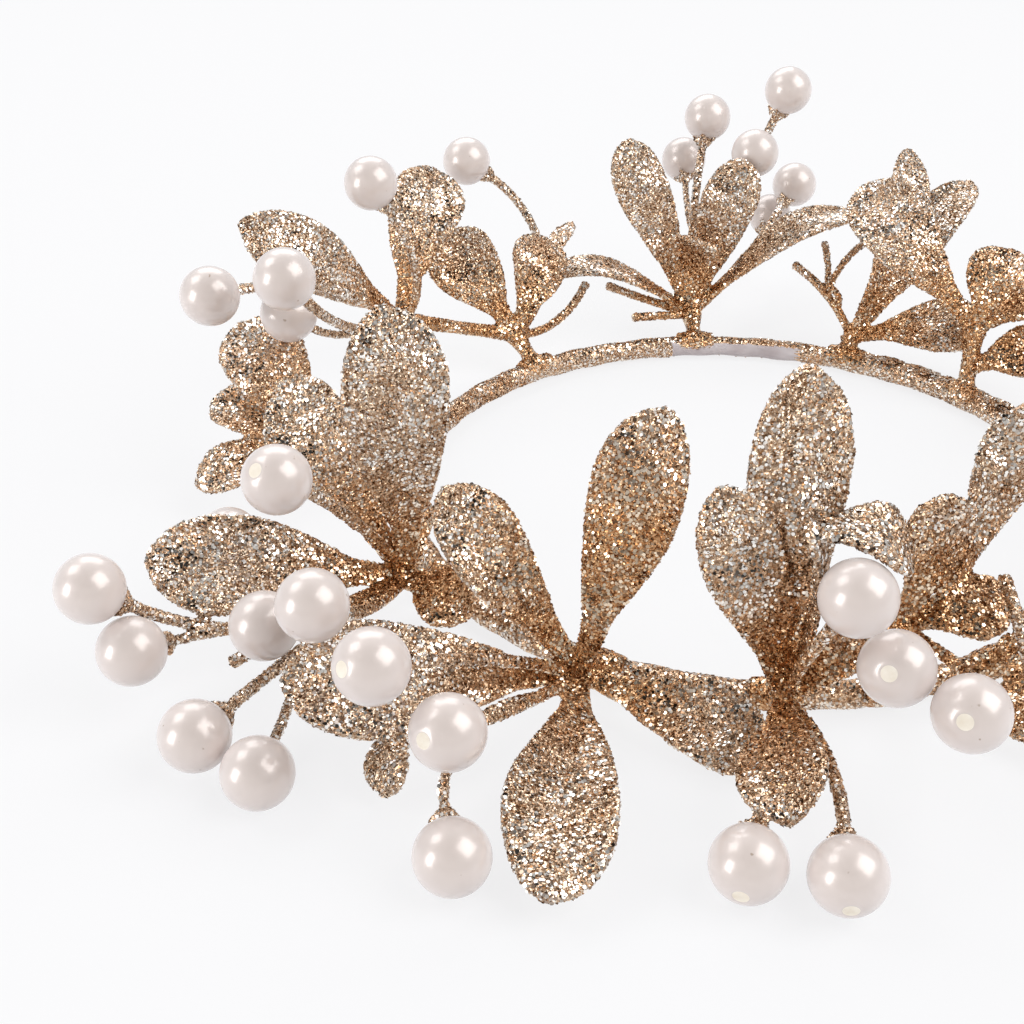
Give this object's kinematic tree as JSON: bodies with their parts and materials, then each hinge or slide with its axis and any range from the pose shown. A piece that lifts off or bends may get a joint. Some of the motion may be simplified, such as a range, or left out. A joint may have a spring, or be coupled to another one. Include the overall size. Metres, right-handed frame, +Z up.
{
  "type": "candle ring",
  "caption": "Round candle ring: a sheathed wire hoop set with glittered spoon-leaf sprays and pearl bead berries, laid on a table around a pillar candle.",
  "frame": {"origin": "middle of the candle opening on the table plane, on the hoop's underside", "axes": "+Z up along the opening's axis, +X to the right and +Y away in the picture"},
  "size_m": [0.1743, 0.1732, 0.0442],
  "materials": {
    "core_steel": "drawn wire",
    "glitter_sheath": "champagne glitter on plastic sheath",
    "glitter_strand": "champagne glitter on plastic strand",
    "binding_tape": "narrow crepe tape with glitter",
    "glitter_moulding": "champagne glitter on moulded plastic",
    "pearl": "pearl lacquer"
  },
  "bodies": {
    "root": {"hoop_core_wire": "core_steel", "hoop_sheath": "glitter_sheath", "splice_bands": "binding_tape", "splice_strand": "glitter_strand", "sprig_01_pearls": "pearl", "sprig_01_spray": "glitter_moulding", "sprig_02_pearls": "pearl", "sprig_02_spray": "glitter_moulding", "sprig_03_spray": "glitter_moulding", "sprig_04_pearls": "pearl", "sprig_04_spray": "glitter_moulding", "sprig_05_pearls": "pearl", "sprig_05_spray": "glitter_moulding", "sprig_06_spray": "glitter_moulding", "sprig_07_pearls": "pearl", "sprig_07_spray": "glitter_moulding", "sprig_08_pearls": "pearl", "sprig_08_spray": "glitter_moulding", "sprig_09_pearls": "pearl", "sprig_09_spray": "glitter_moulding", "sprig_10_pearls": "pearl", "sprig_10_spray": "glitter_moulding", "sprig_11_pearls": "pearl", "sprig_11_spray": "glitter_moulding", "sprig_12_pearls": "pearl", "sprig_12_spray": "glitter_moulding"}
  },
  "joints": []
}
